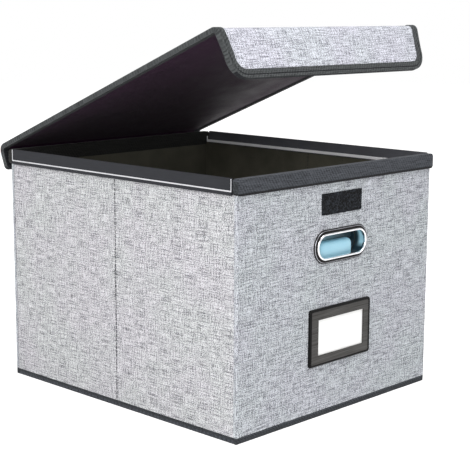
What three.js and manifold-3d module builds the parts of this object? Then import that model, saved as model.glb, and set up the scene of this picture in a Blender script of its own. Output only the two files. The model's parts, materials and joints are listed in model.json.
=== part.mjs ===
// A collapsible file box with its lid standing open, in millimetres, +Z up.
// The front wall faces -Y. The origin is on the floor, in the middle of the whole object's footprint.
import * as THREE from 'three';
import Module from 'manifold-3d';
import { mergeVertices } from 'three/addons/utils/BufferGeometryUtils.js';

const wasm = await Module();
wasm.setup();

// The box
const bodyWidth = 320;
const bodyDepth = 366;
const bodyHeight = 270;
const coverThickness = 1.2;
const boardThickness = 2.4;
const liningThickness = 0.9;
const cornerRadius = 3.5;
const seatGap = 0.3;

// How finely arcs are cut, and how far a cutting solid runs past what it cuts
const stepsPerQuarter = 6;
const bevelSteps = 3;
const cutOverrun = 1;

// Woven trim over the top edge of the front and rear walls
const trimHeight = 17;
const trimProud = 3;
const trimInnerLeg = 1.5;
const trimTopThickness = 1.7;
const trimEndRadius = 5;
const trimEdgeRadius = 1.2;

// Binding along the foot of the walls
const bindingHeight = 6.8;
const bindingInset = 0.4;
const bindingWeb = 1;
const bindingEdgeRadius = 0.5;

// Side walls, which fold at a crease in the middle, and the floor, which folds with them
const sideWallDrop = 14.7;
const creaseGap = 0.3;
const creaseRadius = 0.8;
const floorBoardThickness = 2.4;
const floorFabricThickness = 0.6;
const floorFabricEdge = 0.8;

// File rails: an upright fin on a base with a rolled bead outside and a lip inside
const railTopRise = 0.4;
const finHeight = 12;
const finThickness = 2.2;
const finEdgeRadius = 0.6;
const finFootRadius = 0.8;
const railLegDrop = 2.2;
const railBeadHeight = 5.4;
const railBeadProud = 1.2;
const railBeadRadius = 1.1;
const railInnerReach = 1.4;
const railLipHeight = 1;
const railLipThickness = 1.6;
const railLipRadius = 0.7;
const railEndGap = 2.2;

// Hand holes: a metal bezel outside and a moulded liner with a finger guard behind it
const handleWidth = 88;
const handleHeight = 36.6;
const handleRadius = 15;
const handleDrop = 15.7;
const bezelBand = 4.8;
const bezelProud = 3;
const bezelBevel = 1.6;
const linerWall = 1.4;
const linerFlange = 3.4;
const linerFlangeThickness = 1.2;
const guardDepth = 19;
const guardWidth = 59;
const guardRise = 14.6;
const guardRadius = 7;

// Closure patches
const patchWidth = 66;
const patchHeight = 23;
const patchThickness = 1.2;
const patchRadius = 1.5;
const patchDrop = 10.6;
const loopPatchRise = 1.5;

// Label frame and its card
const labelWidth = 101;
const labelHeight = 61.5;
const labelThickness = 3.4;
const labelRadius = 4;
const labelBevel = 2.2;
const labelBevelDepth = 1.6;
const labelDrop = 47.5;
const labelWindowWidth = 76;
const labelWindowHeight = 39;
const cardThickness = 0.4;
const cardMargin = 5;
const cardTopMargin = 2;

// Lid: a top panel with a curved front flap and a short rear flap
const lidOpenAngle = 22;
const lidOverhang = 1.5;
const lidLength = 386;
const lidCoverThickness = 0.8;
const lidBoardThickness = 1.6;
const lidLiningThickness = 0.6;
const lidFrontFlap = 54;
const lidRearFlap = 29;
const lidFrontBend = 10;
const lidRearBend = 8;
const lidBindingWidth = 11;
const lidBindingLeg = 0.6;
const lidBindingEdge = 1.2;
const lidFrontCorner = 22;
const lidRearCorner = 5;
const lidFlapTaper = 2.5;
const hingeDrop = 23.5;
const hingeClearance = 2.1;
const hingeStripThickness = 0.9;
const hingeStripMargin = 9;

// Heights and thicknesses that follow
const halfWidth = bodyWidth / 2;
const halfDepth = bodyDepth / 2;
const wallThickness = coverThickness + boardThickness + liningThickness;
const trimBottom = bodyHeight - trimHeight;
const endWallTop = bodyHeight - trimTopThickness - seatGap;
const sideWallTop = bodyHeight - sideWallDrop;
const floorThickness = floorBoardThickness + 2 * floorFabricThickness;
const sideWallBottom = floorThickness + seatGap;
const hingeHeight = bodyHeight - hingeDrop;

// The patch, the hand hole and the label frame hang one below the other, down from the trim
const hookPatchTop = trimBottom - patchDrop;
const handleTop = hookPatchTop - patchHeight - handleDrop;
const handleCentreHeight = handleTop - handleHeight / 2;
const labelTop = handleTop - handleHeight - labelDrop;
const labelCentreHeight = labelTop - labelHeight / 2;
const deg = Math.PI / 180;

// Materials
function makeMaterial(color, roughness, metalness) {
  return new THREE.MeshStandardMaterial({ color, roughness, metalness });
}
const linen = makeMaterial(0xb4b6bb, 0.9, 0);
const lining = makeMaterial(0x1d1a1e, 0.75, 0);
const wovenTape = makeMaterial(0x44474b, 0.8, 0);
const greyboard = makeMaterial(0x8d877c, 0.9, 0);
const railPlastic = makeMaterial(0x434448, 0.45, 0);
const chrome = makeMaterial(0xd8d9dc, 0.12, 1);
const blueMoulding = makeMaterial(0x9fd2e6, 0.35, 0);
const patchPile = makeMaterial(0x141417, 0.95, 0);
const labelMetal = makeMaterial(0x55514c, 0.4, 0.6);
const cardPaper = makeMaterial(0xf7f7f5, 0.85, 0);

// The points of an arc that rounds a corner between two straight edges
function filletPoints(before, corner, after, radius) {
  const toBefore = before.clone().sub(corner).normalize();
  const toAfter = after.clone().sub(corner).normalize();
  const halfAngle = Math.acos(toBefore.dot(toAfter)) / 2;
  const centre = toBefore.clone().add(toAfter).setLength(radius / Math.sin(halfAngle)).add(corner);
  const start = toBefore.clone().setLength(radius / Math.tan(halfAngle)).add(corner);
  const turn = Math.sign(toAfter.cross(toBefore)) * (Math.PI - 2 * halfAngle);
  const steps = Math.max(2, Math.round(stepsPerQuarter * Math.abs(turn) / (Math.PI / 2)));
  const points = [];
  for (let step = 0; step <= steps; step += 1) {
    points.push(start.clone().rotateAround(centre, turn * step / steps));
  }
  return points;
}

// An outline through corners, each given as [first coordinate, second coordinate, fillet radius]
function outlinePoints(corners) {
  const places = corners.map(([first, second]) => new THREE.Vector2(first, second));
  return corners.flatMap(([, , radius = 0], index) => {
    const before = places.at(index - 1);
    const after = places[(index + 1) % places.length];
    return radius > 0 ? filletPoints(before, places[index], after, radius) : [places[index]];
  });
}

function outline(corners, ...holes) {
  const shape = new THREE.Shape(outlinePoints(corners));
  shape.holes = holes.map((hole) => new THREE.Path(outlinePoints(hole)));
  return shape;
}

function roundedCorners(width, height, radius, centreHeight) {
  const low = centreHeight - height / 2;
  const high = centreHeight + height / 2;
  return [
    [-width / 2, low, radius],
    [width / 2, low, radius],
    [width / 2, high, radius],
    [-width / 2, high, radius],
  ];
}

// Extrudes a shape so that its two end faces lie exactly on the start and end planes
function extrude(shape, start, end, place) {
  const geometry = new THREE.ExtrudeGeometry(shape, { depth: 1, bevelEnabled: false });
  const position = geometry.attributes.position;
  for (let index = 0; index < position.count; index += 1) {
    const along = position.getZ(index) > 0 ? end : start;
    position.setXYZ(index, ...place(position.getX(index), position.getY(index), along));
  }
  geometry.computeVertexNormals();
  return geometry;
}

// A shape drawn in the plan, from above, with X and Y
function extrudeUp(shape, bottom, top) {
  return extrude(shape, bottom, top, (x, y, along) => [x, y, along]);
}

// A shape drawn in the front view with X and Z
function extrudeBack(shape, front, back) {
  return extrude(shape, back, front, (x, z, along) => [x, along, z]);
}

// A shape drawn in the side view with Y and Z
function extrudeAcross(shape, left, right) {
  return extrude(shape, left, right, (y, z, along) => [along, y, z]);
}

function block([left, right], [front, back], [bottom, top]) {
  const geometry = new THREE.BoxGeometry();
  const position = geometry.attributes.position;
  const low = [Math.min(left, right), Math.min(front, back), Math.min(bottom, top)];
  const high = [Math.max(left, right), Math.max(front, back), Math.max(bottom, top)];
  for (let index = 0; index < position.count; index += 1) {
    const place = low.map((value, axis) => (position.getComponent(index, axis) < 0 ? value : high[axis]));
    position.setXYZ(index, ...place);
  }
  return geometry;
}

// Joins and cuts
function solidFrom(geometry) {
  const plain = geometry.clone();
  plain.deleteAttribute('normal');
  plain.deleteAttribute('uv');
  const merged = mergeVertices(plain);
  const vertProperties = merged.attributes.position.array;
  return new wasm.Manifold(new wasm.Mesh({ numProp: 3, vertProperties, triVerts: merged.index.array }));
}

function geometryFrom(solid) {
  const mesh = solid.getMesh();
  const indexed = new THREE.BufferGeometry();
  indexed.setAttribute('position', new THREE.BufferAttribute(mesh.vertProperties, mesh.numProp));
  indexed.setIndex(new THREE.BufferAttribute(mesh.triVerts, 1));
  const geometry = indexed.toNonIndexed();
  geometry.computeVertexNormals();
  return geometry;
}

function combine(operation, first, ...others) {
  const solid = others.reduce((result, other) => result[operation](solidFrom(other)), solidFrom(first));
  return geometryFrom(solid);
}
const join = (...geometries) => combine('add', ...geometries);
const cut = (...geometries) => combine('subtract', ...geometries);
const overlap = (...geometries) => combine('intersect', ...geometries);

function addPiece(group, name, geometry, material) {
  const piece = new THREE.Mesh(geometry, material);
  piece.name = name;
  group.add(piece);
}

// A flat ring on the wall with a bevel round its outer edge and its opening, cut flat against the wall
function bevelledRing(outer, opening, front, back, bevelSize, bevelThickness) {
  const depth = back - front - bevelThickness;
  const settings = { depth, bevelEnabled: true, bevelSize, bevelThickness, bevelSegments: bevelSteps };
  const geometry = new THREE.ExtrudeGeometry(outline(outer, opening), settings);
  geometry.rotateX(Math.PI / 2);
  geometry.translate(0, front + depth + bevelThickness, 0);
  geometry.computeBoundingBox();
  const { min, max } = geometry.boundingBox;
  const keep = block([min.x - cutOverrun, max.x + cutOverrun], [min.y - cutOverrun, back],
    [min.z - cutOverrun, max.z + cutOverrun]);
  return overlap(geometry, keep);
}

// The front and rear walls are built facing -Y, from the cover inwards
const coverFace = -halfDepth;
const endBoardFace = coverFace + coverThickness;
const endLiningFace = endBoardFace + boardThickness;
const endInnerFace = coverFace + wallThickness;
const coverInsideX = halfWidth - coverThickness;
const boardCorner = cornerRadius - coverThickness;

// The hand hole's outline in the front view, grown from the clear opening
function handleCorners(growth) {
  const width = handleWidth - 2 * bezelBand + 2 * growth;
  const height = handleHeight - 2 * bezelBand + 2 * growth;
  return roundedCorners(width, height, handleRadius - bezelBand + growth, handleCentreHeight);
}
const handleCut = extrudeBack(
  outline(handleCorners(linerWall + seatGap)),
  coverFace - cutOverrun,
  endInnerFace + cutOverrun,
);

// The fabric cover wraps the board's two ends
function makeEndCover() {
  const plan = outline([
    [-halfWidth, endInnerFace],
    [-halfWidth, coverFace, cornerRadius],
    [halfWidth, coverFace, cornerRadius],
    [halfWidth, endInnerFace],
    [coverInsideX, endInnerFace],
    [coverInsideX, endBoardFace, boardCorner],
    [-coverInsideX, endBoardFace, boardCorner],
    [-coverInsideX, endInnerFace],
  ]);
  return cut(extrudeUp(plan, bindingHeight, endWallTop), handleCut);
}

function endBoardPlan() {
  return outline([
    [-coverInsideX, endLiningFace],
    [-coverInsideX, endBoardFace, boardCorner],
    [coverInsideX, endBoardFace, boardCorner],
    [coverInsideX, endLiningFace],
  ]);
}

function makeEndBoard() {
  return cut(extrudeUp(endBoardPlan(), bindingWeb, endWallTop), handleCut);
}

function makeEndLining() {
  const sheet = block([-coverInsideX, coverInsideX], [endLiningFace, endInnerFace], [bindingHeight, endWallTop]);
  return cut(sheet, handleCut);
}

// The trim is a channel over the wall's top edge, with closed ends that wrap round the corners
function makeEndTrim() {
  const outside = coverFace - trimProud;
  const inside = endInnerFace + trimInnerLeg;
  const end = halfWidth + trimProud;
  const innerLegBottom = sideWallTop + seatGap;
  const section = outline([
    [outside, trimBottom],
    [endInnerFace, trimBottom],
    [endInnerFace, innerLegBottom],
    [inside, innerLegBottom],
    [inside, bodyHeight, trimEdgeRadius],
    [outside, bodyHeight, trimEdgeRadius],
  ]);
  const plan = outline([
    [-end, inside, trimEdgeRadius],
    [-end, outside, trimEndRadius],
    [end, outside, trimEndRadius],
    [end, inside, trimEdgeRadius],
  ]);
  const frontView = outline([
    [-end, trimBottom, trimEndRadius],
    [end, trimBottom, trimEndRadius],
    [end, bodyHeight, trimEdgeRadius],
    [-end, bodyHeight, trimEdgeRadius],
  ]);
  const channelEnd = halfWidth + seatGap;
  const channelHeights = [trimBottom - cutOverrun, endWallTop + seatGap];
  const channel = block([-channelEnd, channelEnd], [coverFace, endInnerFace], channelHeights);
  const bar = overlap(
    extrudeAcross(section, -end, end),
    extrudeUp(plan, trimBottom - cutOverrun, bodyHeight + cutOverrun),
    extrudeBack(frontView, outside - cutOverrun, inside + cutOverrun),
  );
  return cut(bar, channel);
}

// The foot binding is a channel round the board's bottom edge and ends
function makeEndBinding() {
  const side = halfWidth - bindingInset;
  const plan = outline([
    [-side, endInnerFace],
    [-side, coverFace + bindingInset, cornerRadius - bindingInset],
    [side, coverFace + bindingInset, cornerRadius - bindingInset],
    [side, endInnerFace],
  ]);
  const boardSpace = extrudeUp(endBoardPlan(), bindingWeb, bindingHeight + cutOverrun);
  return cut(extrudeUp(plan, 0, bindingHeight), boardSpace);
}

function makeBezel() {
  const front = coverFace - bezelProud;
  const outer = handleCorners(bezelBand - bezelBevel);
  return bevelledRing(outer, handleCorners(bezelBevel), front, coverFace, bezelBevel, bezelBevel);
}

// The liner is a sleeve through the wall with a flange inside. A shelf runs on inwards from its foot and
// turns up into a finger guard, which is narrower than the hole.
function makeHandleLiner() {
  const flangeBack = endInnerFace + linerFlangeThickness;
  const guardBack = coverFace + guardDepth;
  const opening = handleCorners(0);
  const sleeve = extrudeBack(outline(handleCorners(linerWall), opening), coverFace, flangeBack);
  const flange = extrudeBack(outline(handleCorners(linerWall + linerFlange), opening), endInnerFace, flangeBack);
  const side = guardWidth / 2;
  const openingFoot = handleTop - handleHeight + bezelBand;
  const shelfHeights = [openingFoot - linerWall, openingFoot];
  const shelf = block([-side, side], [endInnerFace, guardBack], shelfHeights);
  const guard = outline([
    [-side, openingFoot - linerWall],
    [side, openingFoot - linerWall],
    [side, openingFoot + guardRise, guardRadius],
    [-side, openingFoot + guardRise, guardRadius],
  ]);
  return join(sleeve, flange, shelf, extrudeBack(guard, guardBack - linerWall, guardBack));
}

function addEndWall(group, prefix) {
  addPiece(group, `${prefix}_cover`, makeEndCover(), linen);
  addPiece(group, `${prefix}_board`, makeEndBoard(), greyboard);
  addPiece(group, `${prefix}_lining`, makeEndLining(), lining);
  addPiece(group, `${prefix}_trim`, makeEndTrim(), wovenTape);
  addPiece(group, `${prefix}_foot_binding`, makeEndBinding(), wovenTape);
  addPiece(group, `${prefix}_bezel`, makeBezel(), chrome);
  addPiece(group, `${prefix}_handle_liner`, makeHandleLiner(), blueMoulding);
}

// Closure patch on the front wall
function makeHookPatch() {
  const corners = roundedCorners(patchWidth, patchHeight, patchRadius, hookPatchTop - patchHeight / 2);
  return extrudeBack(outline(corners), coverFace - patchThickness, coverFace);
}

// The label frame's card drops into a slot at its back that is open at the top
const cardWidth = labelWindowWidth + 2 * cardMargin;
const cardBottom = labelCentreHeight - labelWindowHeight / 2 - cardMargin;
const cardTop = labelTop - cardTopMargin;

function makeLabelFrame() {
  const narrowing = 2 * labelBevel;
  const outer = roundedCorners(
    labelWidth - narrowing,
    labelHeight - narrowing,
    labelRadius - labelBevel,
    labelCentreHeight,
  );
  const window = roundedCorners(labelWindowWidth + narrowing, labelWindowHeight + narrowing, 0, labelCentreHeight);
  const front = coverFace - labelThickness;
  const frame = bevelledRing(outer, window, front, coverFace, labelBevel, labelBevelDepth);
  const slotSide = cardWidth / 2 + seatGap;
  const slotFront = coverFace - cardThickness - 2 * seatGap;
  const slotDepths = [slotFront, coverFace + cutOverrun];
  const slot = block([-slotSide, slotSide], slotDepths, [cardBottom - seatGap, labelTop + cutOverrun]);
  return cut(frame, slot);
}

function makeLabelCard() {
  const back = coverFace - seatGap;
  return block([-cardWidth / 2, cardWidth / 2], [back - cardThickness, back], [cardBottom, cardTop]);
}

// One half of a side wall: side is -1 on the left and 1 on the right, end is -1 at the front and 1 at the rear
function addSideHalf(group, prefix, side, end) {
  const outerX = side * halfWidth;
  const boardX = side * (halfWidth - coverThickness);
  const liningX = side * (halfWidth - coverThickness - boardThickness);
  const innerX = side * (halfWidth - wallThickness);
  const bindingX = side * (halfWidth - bindingInset);
  const creaseY = end * creaseGap / 2;
  const cornerY = end * (halfDepth - wallThickness - seatGap);
  const webTop = sideWallBottom + bindingWeb;
  const run = [creaseY, cornerY];
  const coverPlan = outline([
    [outerX, creaseY, creaseRadius],
    [outerX, cornerY],
    [boardX, cornerY],
    [boardX, creaseY],
  ]);
  const bindingSection = outline([
    [bindingX, sideWallBottom, bindingEdgeRadius],
    [innerX, sideWallBottom],
    [innerX, bindingHeight],
    [liningX, bindingHeight],
    [liningX, webTop],
    [boardX, webTop],
    [boardX, bindingHeight],
    [bindingX, bindingHeight],
  ]);
  const bindingRun = [Math.min(...run), Math.max(...run)];
  addPiece(group, `${prefix}_cover`, extrudeUp(coverPlan, bindingHeight, sideWallTop), linen);
  addPiece(group, `${prefix}_board`, block([boardX, liningX], run, [webTop, sideWallTop]), greyboard);
  addPiece(group, `${prefix}_lining`, block([liningX, innerX], run, [bindingHeight, sideWallTop]), lining);
  addPiece(group, `${prefix}_foot_binding`, extrudeBack(bindingSection, ...bindingRun), wovenTape);
}

// One half of the floor: a board between a lining and a tray of fabric that turns up round its side edges
function addFloorHalf(group, prefix, end) {
  const fabricX = halfWidth - bindingInset;
  const boardX = fabricX - floorFabricEdge;
  const creaseY = end * creaseGap / 2;
  const cornerY = end * (halfDepth - wallThickness - seatGap);
  const boardTop = floorFabricThickness + floorBoardThickness;
  const run = [creaseY, cornerY];
  const traySection = outline([
    [-fabricX, 0],
    [fabricX, 0],
    [fabricX, floorThickness],
    [boardX, floorThickness],
    [boardX, floorFabricThickness],
    [-boardX, floorFabricThickness],
    [-boardX, floorThickness],
    [-fabricX, floorThickness],
  ]);
  addPiece(group, `${prefix}_fabric`, extrudeBack(traySection, Math.min(...run), Math.max(...run)), wovenTape);
  addPiece(group, `${prefix}_board`, block([-boardX, boardX], run, [floorFabricThickness, boardTop]), greyboard);
  addPiece(group, `${prefix}_lining`, block([-boardX, boardX], run, [boardTop, floorThickness]), lining);
}

// A file rail, whose base sits on the side wall's top edge. Distances inwards are from the wall's outer face.
function makeRail(side) {
  const legInside = -seatGap;
  const legOutside = legInside - finThickness;
  const beadOutside = legOutside - railBeadProud;
  const lipInside = wallThickness + railInnerReach;
  const railTop = bodyHeight + railTopRise;
  const finFoot = railTop - finHeight;
  const baseBottom = sideWallTop + seatGap;
  const legBottom = baseBottom - railLegDrop;
  const beadTop = legBottom + railBeadHeight;
  const lipTop = finFoot + railLipHeight;
  const corners = [
    [legInside, legBottom, finEdgeRadius],
    [legInside, baseBottom],
    [lipInside, baseBottom, railLipRadius],
    [lipInside, lipTop, railLipRadius],
    [lipInside - railLipThickness, lipTop, railLipRadius],
    [lipInside - railLipThickness, finFoot],
    [legInside, finFoot, finFootRadius],
    [legInside, railTop, finEdgeRadius],
    [legOutside, railTop, finEdgeRadius],
    [legOutside, beadTop],
    [beadOutside, beadTop, railBeadRadius],
    [beadOutside, legBottom, railBeadRadius],
  ];
  const section = outline(corners.map(([inwards, height, radius]) => [side * (halfWidth - inwards), height, radius]));
  const end = halfDepth - wallThickness - trimInnerLeg - railEndGap;
  return extrudeBack(section, -end, end);
}

// The lid is built closed, with its hinge axis along X at the origin, and then turned open.
// Depths are measured inwards from the face of its fabric.
const lidBindingProud = lidBindingLeg + seatGap;
const lidThickness = lidCoverThickness + lidBoardThickness + lidLiningThickness + 2 * seatGap;
const lidBack = lidThickness + lidBindingProud;
const lidFront = lidBack - lidLength;
const lidFrontFoot = lidRearFlap - lidFrontFlap;
const lidSide = halfWidth + lidOverhang;
const lidBoardDepth = lidCoverThickness + seatGap;
const lidLiningDepth = lidBoardDepth + lidBoardThickness + seatGap;

// Corners of the lid's side view at one depth, from below the rear flap to below the front flap
function lidLine(depth) {
  const below = lidFrontFoot - cutOverrun;
  return [
    [lidBack - depth, below],
    [lidBack - depth, lidRearFlap - depth, lidRearBend - depth],
    [lidFront + depth, lidRearFlap - depth, lidFrontBend - depth],
    [lidFront + depth, below],
  ];
}

// The lid's shape seen from the front and from behind, drawn in from its outer edge by a margin.
// The front flap narrows a little towards its foot.
function lidMask(margin) {
  const side = lidSide - margin;
  const top = lidRearFlap + lidBindingProud + cutOverrun;
  const flapTop = lidRearFlap - lidThickness - lidBindingProud - cutOverrun;
  const front = lidFront - lidBindingProud - 2 * cutOverrun;
  const back = lidBack + lidBindingProud + 2 * cutOverrun;
  const middle = (front + back) / 2;
  const face = (foot, radius, taper) => outline([
    [taper - side, foot, radius],
    [side - taper, foot, radius],
    [side, flapTop],
    [side, top],
    [-side, top],
    [-side, flapTop],
  ]);
  const frontFace = face(lidFrontFoot + margin, lidFrontCorner - margin, lidFlapTaper);
  const rearFace = face(margin, Math.max(lidRearCorner - margin, 0), 0);
  return join(extrudeBack(frontFace, front, middle), extrudeBack(rearFace, middle, back));
}

function lidShell(outerDepth, innerDepth, margin) {
  const section = outline([...lidLine(outerDepth), ...lidLine(innerDepth).reverse()]);
  return overlap(extrudeAcross(section, margin - lidSide, lidSide - margin), lidMask(margin));
}

// The binding is a channel that runs round the whole edge of the lid
function makeLidBinding() {
  const channelGrowth = seatGap;
  return cut(
    lidShell(-lidBindingProud, lidThickness + lidBindingProud, 0),
    lidShell(-channelGrowth, lidThickness + channelGrowth, lidBindingEdge),
    lidShell(-lidBindingProud - cutOverrun, lidThickness + lidBindingProud + cutOverrun, lidBindingWidth),
  );
}

function makeLoopPatch() {
  const bottom = lidFrontFoot + loopPatchRise;
  const front = lidFront + lidThickness + lidBindingProud + seatGap;
  const corners = roundedCorners(patchWidth, patchHeight, patchRadius, bottom + patchHeight / 2);
  return extrudeBack(outline(corners), front, front + patchThickness);
}

function makeLid() {
  const lid = new THREE.Group();
  const layerMargin = lidBindingEdge + seatGap;
  const board = lidShell(lidBoardDepth, lidBoardDepth + lidBoardThickness, layerMargin);
  const frontJoint = lidFront + lidFrontBend;
  const rearJoint = lidBack - lidRearBend;
  const boardPart = (front, back) => overlap(
    board,
    block([-lidSide, lidSide], [front, back], [lidFrontFoot, lidRearFlap]),
  );
  addPiece(lid, 'lid_cover', lidShell(0, lidCoverThickness, layerMargin), linen);
  addPiece(lid, 'lid_front_board', boardPart(lidFront, frontJoint), greyboard);
  addPiece(lid, 'lid_top_board', boardPart(frontJoint + seatGap, rearJoint - seatGap), greyboard);
  addPiece(lid, 'lid_rear_board', boardPart(rearJoint, lidBack), greyboard);
  addPiece(lid, 'lid_lining', lidShell(lidLiningDepth, lidLiningDepth + lidLiningThickness, layerMargin), lining);
  addPiece(lid, 'lid_binding', makeLidBinding(), wovenTape);
  addPiece(lid, 'loop_patch', makeLoopPatch(), patchPile);
  return lid;
}

// The strip is sewn to the rear wall under its trim and turns out to the foot of the lid's rear flap
const hingeY = halfDepth + trimProud + hingeClearance;

function makeHingeStrip() {
  const end = halfWidth - hingeStripMargin;
  const foldTop = hingeHeight + hingeStripThickness;
  const faceOut = halfDepth + hingeStripThickness;
  const section = outline([
    [halfDepth, hingeHeight],
    [hingeY - seatGap, hingeHeight],
    [hingeY - seatGap, foldTop],
    [faceOut, foldTop],
    [faceOut, trimBottom - seatGap],
    [halfDepth, trimBottom - seatGap],
  ]);
  return extrudeAcross(section, -end, end);
}

// The whole box
const fileBox = new THREE.Group();

const frontWall = new THREE.Group();
addEndWall(frontWall, 'front');
addPiece(frontWall, 'hook_patch', makeHookPatch(), patchPile);
addPiece(frontWall, 'label_frame', makeLabelFrame(), labelMetal);
addPiece(frontWall, 'label_card', makeLabelCard(), cardPaper);
fileBox.add(frontWall);

const rearWall = new THREE.Group();
addEndWall(rearWall, 'rear');
rearWall.rotation.z = Math.PI;
fileBox.add(rearWall);
addPiece(fileBox, 'lid_hinge_strip', makeHingeStrip(), wovenTape);

for (const [sideName, side] of [['left', -1], ['right', 1]]) {
  addSideHalf(fileBox, `${sideName}_rear`, side, 1);
  addSideHalf(fileBox, `${sideName}_front`, side, -1);
  addPiece(fileBox, `${sideName}_rail`, makeRail(side), railPlastic);
}
addFloorHalf(fileBox, 'floor_rear', 1);
addFloorHalf(fileBox, 'floor_front', -1);

const lid = makeLid();
lid.position.set(0, hingeY, hingeHeight);
lid.rotation.x = -lidOpenAngle * deg;
fileBox.add(lid);

// The box is set so that the middle of its footprint, open lid included, is over the origin
const footprint = new THREE.Box3().setFromObject(fileBox, true);
fileBox.position.y = -(footprint.min.y + footprint.max.y) / 2;

export default fileBox;
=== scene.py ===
import json
import math

import bmesh
import bpy
from mathutils import Matrix, Vector


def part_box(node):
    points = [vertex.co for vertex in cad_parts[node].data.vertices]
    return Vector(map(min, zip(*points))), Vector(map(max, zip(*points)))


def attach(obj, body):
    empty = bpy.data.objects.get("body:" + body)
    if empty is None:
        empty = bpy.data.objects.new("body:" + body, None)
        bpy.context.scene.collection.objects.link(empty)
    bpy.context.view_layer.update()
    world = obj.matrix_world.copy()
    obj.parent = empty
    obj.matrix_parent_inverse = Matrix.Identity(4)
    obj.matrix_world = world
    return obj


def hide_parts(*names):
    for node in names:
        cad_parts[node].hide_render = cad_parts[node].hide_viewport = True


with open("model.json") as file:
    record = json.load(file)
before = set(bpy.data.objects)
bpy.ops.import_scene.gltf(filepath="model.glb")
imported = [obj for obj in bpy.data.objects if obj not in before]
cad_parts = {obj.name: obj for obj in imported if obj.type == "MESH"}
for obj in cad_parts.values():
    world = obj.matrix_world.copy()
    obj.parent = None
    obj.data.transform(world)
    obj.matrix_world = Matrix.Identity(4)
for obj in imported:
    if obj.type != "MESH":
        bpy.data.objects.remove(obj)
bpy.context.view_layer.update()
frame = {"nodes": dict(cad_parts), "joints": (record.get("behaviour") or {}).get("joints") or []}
nodes = frame["nodes"]
finishes = {}
mm = 0.001
ends = (("front", -1), ("rear", 1))
sides = (("left", -1), ("right", 1))
leaves = ("left_rear", "left_front", "right_rear", "right_front")


# Modelling by hand
def choose_only(piece):
    """Leaves edit mode and selects one piece, or none."""
    if bpy.context.object and bpy.context.object.mode != "OBJECT":
        bpy.ops.object.mode_set(mode="OBJECT")
    bpy.ops.object.select_all(action="DESELECT")
    if piece is not None:
        piece.select_set(True)
        bpy.context.view_layer.objects.active = piece


def choose_all():
    bpy.ops.mesh.select_all(action="SELECT")


def edit(piece):
    choose_only(piece)
    bpy.ops.object.mode_set(mode="EDIT")
    choose_all()


def settle():
    """Works the chosen piece's place, turn and size into its mesh."""
    bpy.ops.object.transform_apply(location=True, rotation=True, scale=True)


def face_outward():
    """Turns every face of the piece outwards."""
    choose_all()
    bpy.ops.mesh.normals_make_consistent(inside=False)


def same(first, second):
    """Whether two measures agree to a hundredth of a millimetre."""
    return abs(first - second) < 1e-5


def along(direction, axis):
    return abs(direction[axis]) > 0.99


def pick(piece, kind, test):
    """Selects the corners, edges or faces that pass a test. kind is VERT, EDGE or FACE."""
    bpy.ops.mesh.select_mode(type=kind)
    bpy.ops.mesh.select_all(action="DESELECT")
    mesh = bmesh.from_edit_mesh(piece.data)
    for item in {"VERT": mesh.verts, "EDGE": mesh.edges, "FACE": mesh.faces}[kind]:
        if test(item):
            item.select_set(True)
    mesh.select_flush_mode()
    bmesh.update_edit_mesh(piece.data)


def pick_points(piece, test):
    pick(piece, "VERT", lambda corner: test(*corner.co))


def pick_edges(piece, test):
    """Picks edges by their middle and their direction."""
    def passes(edge):
        start, end = (corner.co for corner in edge.verts)
        return test((start + end) / 2, (end - start).normalized())
    pick(piece, "EDGE", passes)


def pick_faces(piece, test):
    pick(piece, "FACE", lambda face: test(face.calc_center_median(), face.normal))


def slice_rows(places, axis):
    """Cuts the whole piece across at each place along an axis."""
    normal = [0, 0, 0]
    normal[axis] = 1
    for place in places:
        point = [place * step for step in normal]
        choose_all()
        bpy.ops.mesh.bisect(plane_co=point, plane_no=normal)


def just_added(name):
    piece = bpy.context.object
    piece.name = name
    return piece


def start_piece(name, size):
    """Names and sizes the plain form that was just added, ready to be modelled."""
    piece = just_added(name)
    piece.scale = size
    settle()
    edit(piece)
    return piece


def start_block(name, low, high):
    """A block between two corners."""
    choose_only(None)
    low, high = Vector(low), Vector(high)
    bpy.ops.mesh.primitive_cube_add(size=1, location=(low + high) / 2)
    return start_piece(name, high - low)


def start_plate(name, width, height, centre, standing=True):
    """A flat plate that stands facing the front, or else lies facing up."""
    choose_only(None)
    tilt = math.radians(90) if standing else 0
    bpy.ops.mesh.primitive_plane_add(size=1, location=centre, rotation=(tilt, 0, 0))
    return start_piece(name, (width, height, 1))


def step_in(widths_and_rises):
    """Insets the chosen face again and again, each time by a width and a rise."""
    for width, rise in widths_and_rises:
        bpy.ops.mesh.inset(thickness=width * mm, depth=rise * mm, use_even_offset=True)


def round_corners(radius, steps):
    bpy.ops.mesh.bevel(offset=radius * mm, segments=steps, affect="VERTICES")


def round_chosen_edges(radius, steps):
    bpy.ops.mesh.bevel(offset=radius * mm, segments=steps, affect="EDGES")


def round_edges(piece, test, radius, steps=4):
    edit(piece)
    pick_edges(piece, test)
    round_chosen_edges(radius, steps)


def modify(piece, kind, **settings):
    """Adds a modifier and applies it."""
    choose_only(piece)
    modifier = piece.modifiers.new(kind.title(), kind)
    for name, value in settings.items():
        setattr(modifier, name, value)
    bpy.ops.object.modifier_apply(modifier=modifier.name)


def soften(piece, width, steps, bend=40):
    """Rounds off every edge where the surface bends by more than so many degrees."""
    limit = {"limit_method": "ANGLE", "angle_limit": math.radians(bend)}
    modify(piece, "BEVEL", width=width * mm, segments=steps, **limit)


def thicken(piece, thickness, side=-1, **settings):
    """Gives a surface a thickness, behind it for side -1 and before it for side 1."""
    modify(piece, "SOLIDIFY", thickness=thickness * mm, offset=side, **settings)


def carve(piece, cutter):
    """Cuts a shape out of a piece."""
    modify(piece, "BOOLEAN", operation="DIFFERENCE", object=cutter, solver="EXACT")
    bpy.data.objects.remove(cutter)


def carve_block(piece, low, high):
    carve(piece, start_block("cutter", low, high))


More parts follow.
